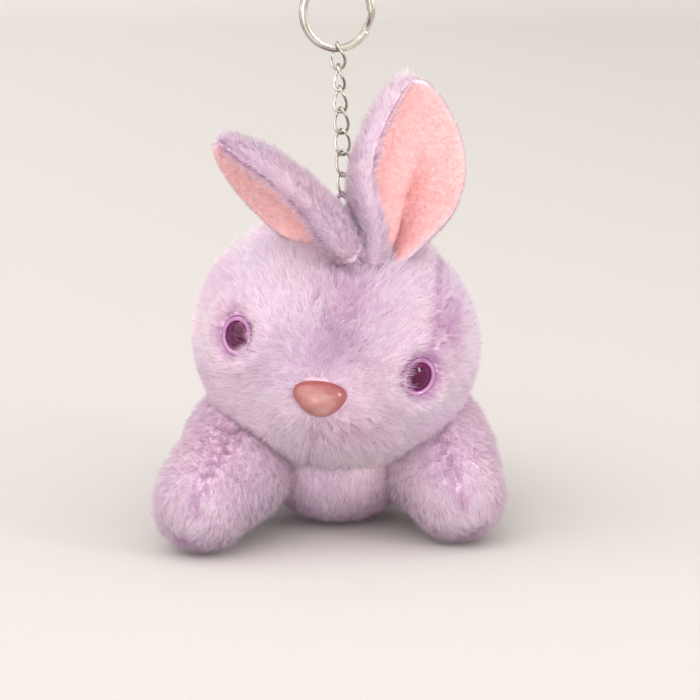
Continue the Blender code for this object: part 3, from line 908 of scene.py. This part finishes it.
def make_tail():
    low, high = box_mm("tail_skin")
    centre = (low + high) / 2
    radius = (high - low).max() / 2 + 0.3
    ball = ball_form(5)
    form = Form(centre + ball.points * radius, ball.triangles)
    skin = lilac_cloth("tail_plush", form, "body")
    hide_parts("tail_skin", "tail_filling")

    def comb(points):
        return (points - centre) / radius + np.array([0, 0.8, 0.5])

    lilac_pile("tail_pile", form, "body", LIMB_DENSITY, comb, TAIL_PILE, 51, tilt=35, ruffle=0.6)


# Ears


def ear_section(ear, s, a):
    """Points across the ear at s, as (sideways, forwards) arrays, with 0 at the spine."""
    width = EAR_WIDTH * np.sin(np.pi * (0.14 + 0.86 * s) ** 1.1) ** 0.7
    bend = EAR_BEND + EAR_PINCH * (1 - s) ** 3
    roll = np.maximum(0, -a - EAR_ROLL_FROM) / (1 - EAR_ROLL_FROM)
    roll = np.sin(np.pi / 2 * np.minimum(1, 1.3 * roll))
    low_roll, high_roll = ear["roll"]
    turn = bend * a - (low_roll + (high_roll - low_roll) * smooth(0.05, 0.45, s)) * roll
    opening = ear["open"] * (0.8 + 0.2 * smooth(0, 0.35, s))
    step = width / len(a) * (1 + (opening - 1) * smooth(-0.1, 0.2, a))
    sideways = np.cumsum(np.cos(turn) * step)
    forwards = np.cumsum(np.sin(turn) * step)
    spine = len(a) // 2
    centre = 0.34 + 0.2 * smooth(0.35, 0.05, s)
    valley = ear["crease"] * np.exp(-(((a - centre) / 0.16) ** 2)) * smooth(0.72, 0.3, s)
    return sideways - sideways[spine], forwards - forwards[spine] - valley


def ear_sheet(ear):
    """The ear's cloth as a grid of points, with its forward normals, and the ways along and across it."""
    base = joint_mm(ear["joint"])
    axis = unit(np.array(ear["axis"]))
    facing = np.array(ear["facing"])
    front = unit(facing - axis * (facing @ axis))
    across = np.cross(axis, front) * ear["side"]
    a = np.linspace(-1, 1, EAR_COLUMNS)
    grid = []
    for s in np.linspace(0, 0.985, EAR_ROWS):
        sideways, forwards = ear_section(ear, s, a)
        sway = EAR_SWAY * math.sin(math.pi * s)
        spine = base + axis * (ear["length"] * s - EAR_BELOW_JOINT * (1 - s))
        spine[0] += ear["lean"][0] * (1 - s) + ear["lean"][1] * s
        grid.append(spine + across * sideways[:, None] + front * (forwards - sway)[:, None])
    grid = np.array(grid)
    normals = unit(np.cross(np.gradient(grid, axis=0), np.gradient(grid, axis=1)))
    if (normals[EAR_ROWS // 2, EAR_COLUMNS // 2] @ front) < 0:
        normals = -normals
    return grid, normals, axis, across


def closed_sheet(grid, normals, front_offset, back_offset):
    """A form between two offsets of a grid, joined round the edge."""
    rows, columns = grid.shape[:2]
    front = (grid + normals * front_offset[..., None]).reshape(-1, 3)
    back = (grid + normals * back_offset[..., None]).reshape(-1, 3)
    faces = grid_triangles(rows, columns, False)
    count = rows * columns
    index = np.arange(count).reshape(rows, columns)
    rim = np.concatenate([index[0, :-1], index[:-1, -1], index[-1, :0:-1], index[:0:-1, 0]])
    following = np.roll(rim, -1)
    sides = np.concatenate(
        [
            np.stack([rim, rim + count, following], 1),
            np.stack([following, rim + count, following + count], 1),
        ]
    )
    form = Form(np.concatenate([front, back]), np.concatenate([faces, faces[:, ::-1] + count, sides]))
    outward = (form.normals[:count] * normals.reshape(-1, 3)).sum(1).mean()
    if outward < 0:
        form = Form(form.points, form.triangles[:, ::-1])
    return form


def ear_forms(grid, normals, base):
    """The plush back and the lining: two closed sheets, thin at their edges, the lining set in a little."""
    s = np.linspace(0, 1, EAR_ROWS)[:, None]
    a = np.linspace(-1, 1, EAR_COLUMNS)[None, :]
    edge = np.sqrt(np.clip(1 - np.abs(a) ** 10, 0, 1)) * np.sqrt(np.clip(1 - s**14, 0, 1))
    plump = 2.3 + 1.2 * smooth(-0.15, -0.6, a) * np.sin(np.pi * np.clip(s, 0.1, 1)) ** 0.5
    plump = plump + base * smooth(0.45, 0.05, s) * smooth(0.5, 0, a)
    back = closed_sheet(grid, normals, -0.1 + 0.3 * edge, -0.1 - plump * edge)
    part = np.s_[: EAR_ROWS - 1, 2:]
    lining = closed_sheet(grid[part], normals[part], 0.35 + 1.1 * edge[part], 0.3 * edge[part])
    return back, lining


def make_ear(name, ear, seed):
    grid, normals, axis, across = ear_sheet(ear)
    back, lining = ear_forms(grid, normals, ear["base"])
    body = f"ear_{name}"
    plush = lilac_cloth(f"{body}_plush", back, body)
    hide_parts(f"{body}_back")
    cloth = add_form(f"{body}_cloth", lining, body, PINK_GROUND)
    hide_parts(f"{body}_lining")

    rolled_edge, middle, open_edge = grid[:, 0], grid[:, EAR_COLUMNS // 2], grid[:, -1]

    def rows_at(points):
        return np.abs(points[:, None, :] @ axis - (middle @ axis)[None]).argmin(1)

    def comb(points):
        return axis * 0.8 + unit(points - middle[rows_at(points)]) * 0.6

    def length(points):
        gap = np.linalg.norm(points - open_edge[rows_at(points)], axis=1)
        return 1.3 + 2.3 * smooth(1, 7, gap)

    def shade(points):
        gap = np.linalg.norm(points - rolled_edge[rows_at(points)], axis=1)
        # Painted shade beside the rolled edge, where the pile parts.
        return 1.02 + 0.05 * drift(points, 7, seed) - ear["parting_shade"] * smooth(3.5, 1.0, gap)

    def lining_shade(points):
        """Painted shade: deeper along the fold and beyond it."""
        row = rows_at(points)
        past = (points - middle[row]) @ across - ear["fold"]
        deep = ear["fold_shade"] * (np.exp(-((past / 1.6) ** 2)) + 0.8 * smooth(0, 3, past))
        return 1.02 + 0.05 * drift(points, 6, seed + 2) - deep * smooth(0.75, 0.35, row / EAR_ROWS)

    on_rolled_rim = np.tile(np.linspace(-1, 1, EAR_COLUMNS) < -0.86, EAR_ROWS)
    grows = np.concatenate([on_rolled_rim, np.ones(len(on_rolled_rim), bool)])
    only = grows[back.triangles].all(1).astype(float)
    looks = {"only": only, "shade": shade, "ruffle": 0.1, "tilt": 55}
    lilac_pile(f"{body}_pile", back, body, EAR_DENSITY, comb, length, seed, **looks)
    only = (lining.triangles < len(lining.points) // 2).all(1).astype(float)
    looks = {"only": only, "shade": lining_shade, "clump": 1.2, "width": 0.14, "tilt": 48, "ruffle": 0.15}
    nap = (PINK_PILE, "pink_lining", LINING_DENSITY, comb, LINING_PILE, seed + 1)
    grow_pile(f"{body}_nap", lining, body, *nap, **looks)


# Eyes and nose


def turned_mesh(name, profile, origin, axis, columns, material, slot):
    """A profile of (radius, height) pairs turned about axis from origin, on the head."""
    radii, heights = np.array(profile).T
    turned = lathe_form if radii[0] == 0 else hoop_form
    return add_form(name, turned(radii, heights, origin, axis, columns), "head", material)


def arc(centre_r, centre_h, radius_r, radius_h, start, end, steps):
    angles = np.radians(np.linspace(start, end, steps))
    return [(centre_r + radius_r * math.cos(t), centre_h + radius_h * math.sin(t)) for t in angles]


def tinted_material(name, stops, scale, roughness, **values):
    """Plastic coloured by the piece's own tint from its middle out, with fine streaks."""
    nodes = Nodes(name)
    colour = nodes.ramp(nodes.channels("tint")[0], *stops)
    streaks = nodes.ramp(nodes.noise(scale, 4), (0.3, (0.72, 0.62, 0.72)), (0.65, (1, 1, 1)))
    nodes.paint(nodes.multiply(colour, streaks))
    nodes.set(Roughness=roughness, **values)
    return nodes.material


def eye_materials():
    rim_stops = (
        (0.0, (0.22, 0.03, 0.17)),
        (0.72, (0.26, 0.05, 0.20)),
        (0.78, (0.52, 0.28, 0.47)),
        (0.90, (0.42, 0.19, 0.38)),
        (0.97, (0.24, 0.03, 0.20)),
    )
    rim = tinted_material("eye_rim_plastic", rim_stops, 300, 0.1, Coat_Weight=0.3, Coat_Roughness=0.04)
    pupil_stops = ((0.0, (0.095, 0.003, 0.05)), (0.45, (0.07, 0.002, 0.035)), (0.74, (0.19, 0.02, 0.12)))
    pupil = tinted_material("pupil_plastic", pupil_stops, 900, 0.06, Specular_IOR_Level=0.3)
    iris_stops = ((0.0, (0.24, 0.04, 0.20)), (1.0, (0.50, 0.22, 0.46)))
    iris = tinted_material("iris_print", iris_stops, 700, 0.3, Metallic=0.3)
    return rim, iris, pupil


def nose_material():
    """Pearly plastic, deeper in colour round its edge and mottled."""
    nodes = Nodes("nose_pearl")
    body = nodes.ramp(nodes.noise(170, 3), (0.35, (0.34, 0.125, 0.115)), (0.6, (0.43, 0.205, 0.19)))
    edge = nodes.ramp(nodes.channels("tint")[0], (0.55, (1, 1, 1)), (0.98, (0.72, 0.36, 0.36)))
    nodes.paint(nodes.multiply(body, edge))
    nodes.set(Roughness=0.3, Coat_Weight=0.45, Coat_Roughness=0.16)
    return nodes.material


def tint_by(obj, shares):
    """Stores a share from 0 to 1 on each vertex, for a material to colour by."""
    colours = np.ones((len(shares), 4), np.float32)
    colours[:, :3] = np.clip(shares, 0, 1)[:, None]
    attribute = obj.data.color_attributes.new("tint", "FLOAT_COLOR", "POINT")
    attribute.data.foreach_set("color", colours.ravel())


def tint_round(obj, origin, axis, reach):
    """Tints a piece from 0 on its axis to 1 at reach from it."""
    offsets = np.array([v.co for v in obj.data.vertices]) / MM - origin
    offsets -= (offsets @ axis)[:, None] * axis
    tint_by(obj, np.linalg.norm(offsets, axis=1) / reach)


def make_eyes():
    rim, iris, pupil = eye_materials()
    ring = arc(5.2, 1.5, 0.9, 0.8, 180, 0, 18) + [(6.0, 0.3), (4.2, 0.3)]
    plate = [(0, 0.5), (4.6, 0.5), (4.6, 1.2), (4.2, 1.3), (0, 1.3)]
    dome = [(0, 1.2), (4.6, 1.3)] + arc(0, -3.5, 6.6, 6.6, 47, 90, 20)
    dome[-1] = (0, dome[-1][1])
    for side, (point, normal) in EYES.items():
        spot = (point - normal * EYE_SINK, normal)
        ring_piece = turned_mesh(f"eye_{side}_ring", ring[::-1], *spot, 96, rim, "clear_plastic")
        plate_piece = turned_mesh(f"eye_{side}_plate", plate, *spot, 64, iris, "iris_foil")
        dome_piece = turned_mesh(f"eye_{side}_dome", dome, *spot, 96, pupil, "pupil_plastic")
        for piece in (ring_piece, plate_piece, dome_piece):
            tint_round(piece, *spot, EYE_RADIUS)
        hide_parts(f"eye_{side}_lens")
        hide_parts(f"eye_{side}_iris", f"eye_{side}_post")
        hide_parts(f"eye_{side}_pupil")


def make_nose():
    point, normal = NOSE
    up = HEAD_TURN @ UP * 0.4 + UP * 0.6
    side = unit(np.cross(up, normal))
    turn = np.stack([side, np.cross(normal, side), normal], 1)
    form = ball_form(5)
    x, y, z = form.points.T
    angle = np.arctan2(y, x)
    reach = 1 + 0.07 * np.cos(3 * (angle + math.pi / 2)) - 0.02 * np.cos(2 * angle)
    flat = np.hypot(x, y)
    rise = np.where(z > 0, NOSE_RISE * z * (1 - 0.08 * flat), 1.2 * z)
    dimple = 0.35 * np.exp(-(((x / 0.5) ** 2) + ((y - 0.35) / 0.25) ** 2))
    height = rise + 1.2 - dimple * (z > 0)
    local = np.stack([x * reach * NOSE_WIDTH / 2, y * reach * NOSE_HEIGHT / 2, height], 1)
    form.points = local @ turn.T + point
    piece = add_form("nose_cap", form, "head", nose_material())
    tint_by(piece, np.where(z > 0, flat, 1.0))
    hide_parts("nose_button")


# Chain, ring and loop


def tube_faces(rows, sides, closed):
    """Faces of a tube whose rows of points follow its path, with flat ends if it isn't closed."""
    faces = []
    for i in range(rows if closed else rows - 1):
        j = (i + 1) % rows
        for k in range(sides):
            m = (k + 1) % sides
            faces.append((i * sides + k, i * sides + m, j * sides + m, j * sides + k))
    if not closed:
        faces.append(tuple(range(sides))[::-1])
        faces.append(tuple(range((rows - 1) * sides, rows * sides)))
    return faces


def carried_normals(ways, closed):
    """Normals along a path that turn as little as they can, and meet where the path closes."""
    normal = unit(np.cross(ways[0], UP if abs(ways[0][2]) < 0.9 else np.array([1.0, 0, 0])))
    normals = [normal]
    for way in ways[1:]:
        normal = unit(normal - way * (normal @ way))
        normals.append(normal)
    normals = np.array(normals)
    if closed:
        last = unit(normals[-1] - ways[0] * (normals[-1] @ ways[0]))
        twist = math.atan2(np.cross(last, normals[0]) @ ways[0], last @ normals[0])
        spin = (twist * np.arange(len(ways)) / len(ways))[:, None]
        normals = normals * np.cos(spin) + np.cross(ways, normals) * np.sin(spin)
    return normals


def wire_mesh(name, path, radius, closed, body, material, sides=14):
    """A round wire along a path."""
    after = np.roll(path, -1, 0) if closed else np.vstack([path[1:], path[-1:]])
    before = np.roll(path, 1, 0) if closed else np.vstack([path[:1], path[:-1]])
    ways = unit(after - before)
    normals = carried_normals(ways, closed)[:, None]
    others = np.cross(ways, normals[:, 0])[:, None]
    angles = np.linspace(0, 2 * math.pi, sides, endpoint=False)[:, None]
    points = path[:, None] + (normals * np.cos(angles) + others * np.sin(angles)) * radius
    return add_mesh(name, points.reshape(-1, 3), tube_faces(len(path), sides, closed), body, material)


def link_path(bottom, axis, width, turn, steps=72):
    """The centre line of a link of twisted wire, standing on its bottom wire."""
    half = (LINK_LENGTH - LINK_WIRE) / 2
    reach = (width - LINK_WIRE) / 2
    across = unit(np.array([1.0, 0, 0]) - axis * axis[0])
    other = np.cross(axis, across)
    path = []
    for i in range(steps):
        angle = 2 * math.pi * i / steps
        along = half * math.copysign(abs(math.sin(angle)) ** 0.9, math.sin(angle))
        side = reach * math.copysign(abs(math.cos(angle)) ** 0.8, math.cos(angle))
        spin = turn - math.pi / 4 * along / half
        outward = across * math.cos(spin) + other * math.sin(spin)
        path.append(bottom + axis * (half + along) + outward * side)
    return np.array(path)


def make_chain():
    pitch_pair = joint_mm("chain_link_3_swing") - joint_mm("chain_link_1_swing")
    axis = unit(pitch_pair)
    foot = joint_mm("chain_link_1_swing")
    pitch = np.linalg.norm(pitch_pair) / 2
    links = [(f"chain_link_{i + 1}", LINK_WIDTH, LINK_START + LINK_DRIFT * i) for i in range(6)]
    links.append(("ring_link", RING_LINK_WIDTH, RING_LINK_TURN))
    for i, (name, width, turn) in enumerate(links):
        path = link_path(foot + axis * pitch * i, axis, width, math.radians(turn))
        link = wire_mesh(f"{name}_wire", path, LINK_WIRE / 2, True, name, METAL)
        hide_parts(name)


def ring_section():
    """The flat wire's section, with rounded corners, as (outwards, along the ring's axis) pairs."""
    out, along = (side / 2 - RING_CORNER for side in RING_SECTION)
    section = []
    for side_out, side_along, start in ((1, 1, 0), (-1, 1, 90), (-1, -1, 180), (1, -1, 270)):
        for turn in np.radians(np.linspace(start, start + 90, 5)):
            corner = (RING_CORNER * math.cos(turn), RING_CORNER * math.sin(turn))
            section.append((side_out * out + corner[0], side_along * along + corner[1]))
    return section[::-1]


def make_ring():
    """Two turns of flat wire with a joggle, closed by square ends."""
    middle = RING_RADIUS - RING_SECTION[0] / 2
    centre = joint_mm("key_ring_swing") + UP * (RING_RADIUS - RING_SECTION[0] - LINK_WIRE / 2 - 0.3)
    plane_x = np.array([math.cos(RING_YAW), math.sin(RING_YAW), 0])
    plane_z = np.cross(plane_x, UP)
    section = ring_section()
    start = RING_JOGGLE_AT + RING_JOGGLE / 2
    points = []
    for angle in np.linspace(0, 4 * math.pi - RING_JOGGLE, RING_STEPS + 1):
        layer = smooth(2 * math.pi - RING_JOGGLE, 2 * math.pi, angle) - 0.5
        outward = plane_x * math.cos(start + angle) + UP * math.sin(start + angle)
        for out, along in section:
            points.append(centre + outward * (middle + out) + plane_z * (layer * RING_PITCH + along))
    faces = tube_faces(RING_STEPS + 1, len(section), False)
    ring = add_mesh("key_ring_wire", np.array(points), faces, "key_ring", METAL)
    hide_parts("key_ring")


def make_loop():
    """A bent cord with both ends inside the head."""
    low, high = box_mm("hang_loop")
    foot = joint_mm("chain_link_1_swing")
    turn = math.radians(LINK_START + 45)
    span = np.array([math.sin(turn), -math.cos(turn), 0]) * LOOP_REACH
    centre = np.array([foot[0], foot[1], high[2] - LOOP_RADIUS - LOOP_REACH])
    depths = (centre[2] - low[2] + 4, 2.0, 1.0)
    path = [centre - span - UP * depth for depth in depths]
    for t in np.linspace(math.pi, 0, 25):
        path.append(centre + span * math.cos(t) + UP * LOOP_REACH * math.sin(t))
    path += [centre + span - UP * depth for depth in depths[::-1]]
    loop = wire_mesh("hang_loop_cord", np.array(path), LOOP_RADIUS, False, "head", CORD)
    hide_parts("hang_loop")


# Stage


def graded(nodes, source, start, end, **settings):
    """0 to 1 as the source goes from start to end."""
    node = nodes.add("ShaderNodeMapRange", **settings)
    node.inputs["From Min"].default_value = start
    node.inputs["From Max"].default_value = end
    nodes.join(source, node.inputs["Value"])
    return node.outputs["Result"]


def paper_material():
    nodes = Nodes("pale_paper_painted_shade")
    split = nodes.add("ShaderNodeSeparateXYZ")
    nodes.join(nodes.coordinates(), split.inputs[0])
    # Painted shade: the wall is coloured darker and greyer than the table, and the right side darker than the
    # left.
    rise = graded(nodes, split.outputs["Y"], 2.3, 3.1, interpolation_type="SMOOTHSTEP")
    side = graded(nodes, split.outputs["X"], -0.6, 0.6)
    paper = nodes.ramp(rise, (0.0, (0.60, 0.575, 0.565)), (1.0, (0.435, 0.437, 0.412)))
    across = nodes.ramp(side, (0.25, (1, 1, 1)), (0.75, (0.90, 0.90, 0.885)))
    colour = nodes.multiply(paper, across)
    grain = nodes.ramp(nodes.noise(900, 3), (0.3, (0.985, 0.985, 0.985)), (0.7, (1, 1, 1)))
    nodes.paint(nodes.multiply(colour, grain))
    nodes.set(Roughness=0.9, Specular_IOR_Level=0.1)
    return nodes.material


def make_floor():
    """A pale table that sweeps up into a wall well behind the rabbit, in metres."""
    wall, bend, height, side = 3.1, 0.9, 6.0, 7.0
    profile = [(-6.0, 0.0), (0.0, 0.0), (wall - bend, 0.0)]
    for turn in np.radians(np.linspace(0, 90, 24)):
        profile.append((wall - bend + bend * math.sin(turn), bend * (1 - math.cos(turn))))
    profile.append((wall, height))
    points = [(x, y, z) for y, z in profile for x in (-side, side)]
    quads = [(2 * i, 2 * i + 1, 2 * i + 3, 2 * i + 2) for i in range(len(profile) - 1)]
    mesh = bpy.data.meshes.new("paper_sweep")
    mesh.from_pydata(points, [], quads)
    mesh.shade_smooth()
    mesh.materials.append(paper_material())
    obj = bpy.data.objects.new("paper_sweep", mesh)
    bpy.context.scene.collection.objects.link(obj)


def make_light(name, kind, place, energy, **settings):
    data = bpy.data.lights.new(name, kind)
    data.energy = energy
    for key, value in settings.items():
        setattr(data, key, value)
    obj = bpy.data.objects.new(name, data)
    obj.location = np.array(place) * MM
    aim = Vector(CAMERA_AIM * MM) - obj.location
    obj.rotation_euler = aim.to_track_quat("-Z", "Y").to_euler()
    bpy.context.scene.collection.objects.link(obj)


def make_lights():
    warm = (1.0, 0.975, 0.95)
    make_light("sky_panel", "SUN", (-900, -700, 800), 1.6, angle=math.radians(80), color=warm)
    make_light("window", "AREA", (800, -560, 330), 3.0, shape="RECTANGLE", size=0.2, size_y=0.32, color=warm)
    make_light("low_fill", "AREA", (100, -900, 30), 2.9, shape="RECTANGLE", size=1.1, size_y=0.5, color=warm)


def make_world():
    """A soft bright room with a dim band low on its walls, which gives the metal something to show."""
    world = bpy.data.worlds.new("studio")
    world.use_nodes = True
    bpy.context.scene.world = world
    tree = world.node_tree
    background = tree.nodes["Background"]
    coordinate = tree.nodes.new("ShaderNodeTexCoord")
    split = tree.nodes.new("ShaderNodeSeparateXYZ")
    ramp = tree.nodes.new("ShaderNodeValToRGB")
    levels = ((0.0, 0.80), (0.17, 0.80), (0.27, 0.30), (0.36, 0.32), (0.5, 0.85), (1.0, 0.95))
    set_stops(ramp, [(place, (level, level * 0.975, level * 0.945)) for place, level in levels])
    tree.links.new(coordinate.outputs["Generated"], split.inputs[0])
    tree.links.new(split.outputs["Z"], ramp.inputs["Fac"])
    tree.links.new(ramp.outputs["Color"], background.inputs["Color"])
    background.inputs["Strength"].default_value = 1.72


def make_camera():
    data = bpy.data.cameras.new("camera")
    data.sensor_width = 36
    data.lens = data.sensor_width * CAMERA_DISTANCE / VIEW_WIDTH
    data.clip_start = 0.01
    data.clip_end = 50
    obj = bpy.data.objects.new("camera", data)
    back = np.array([0, -math.cos(CAMERA_ELEVATION), math.sin(CAMERA_ELEVATION)])
    obj.location = (CAMERA_AIM + back * CAMERA_DISTANCE) * MM
    obj.rotation_euler = (math.pi / 2 - CAMERA_ELEVATION, 0, 0)
    bpy.context.scene.collection.objects.link(obj)
    bpy.context.scene.camera = obj


def finish_frame_nodes():
    """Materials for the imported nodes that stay: the washers inside the head."""
    for name, node in frame["nodes"].items():
        if name.endswith("_washer"):
            node.data.materials.clear()
            node.data.materials.append(WHITE_PLASTIC)


bpy.context.scene.view_settings.view_transform = "Standard"
make_camera()
make_lights()
make_world()
make_floor()
make_head()
make_body()
for number, limb in enumerate(LIMB_NAMES):
    make_limb(limb, 31 + number)
make_tail()
for number, (ear_name, ear_shape) in enumerate(EARS.items()):
    make_ear(ear_name, ear_shape, 61 + 5 * number)
make_eyes()
make_nose()
make_loop()
make_chain()
make_ring()
finish_frame_nodes()
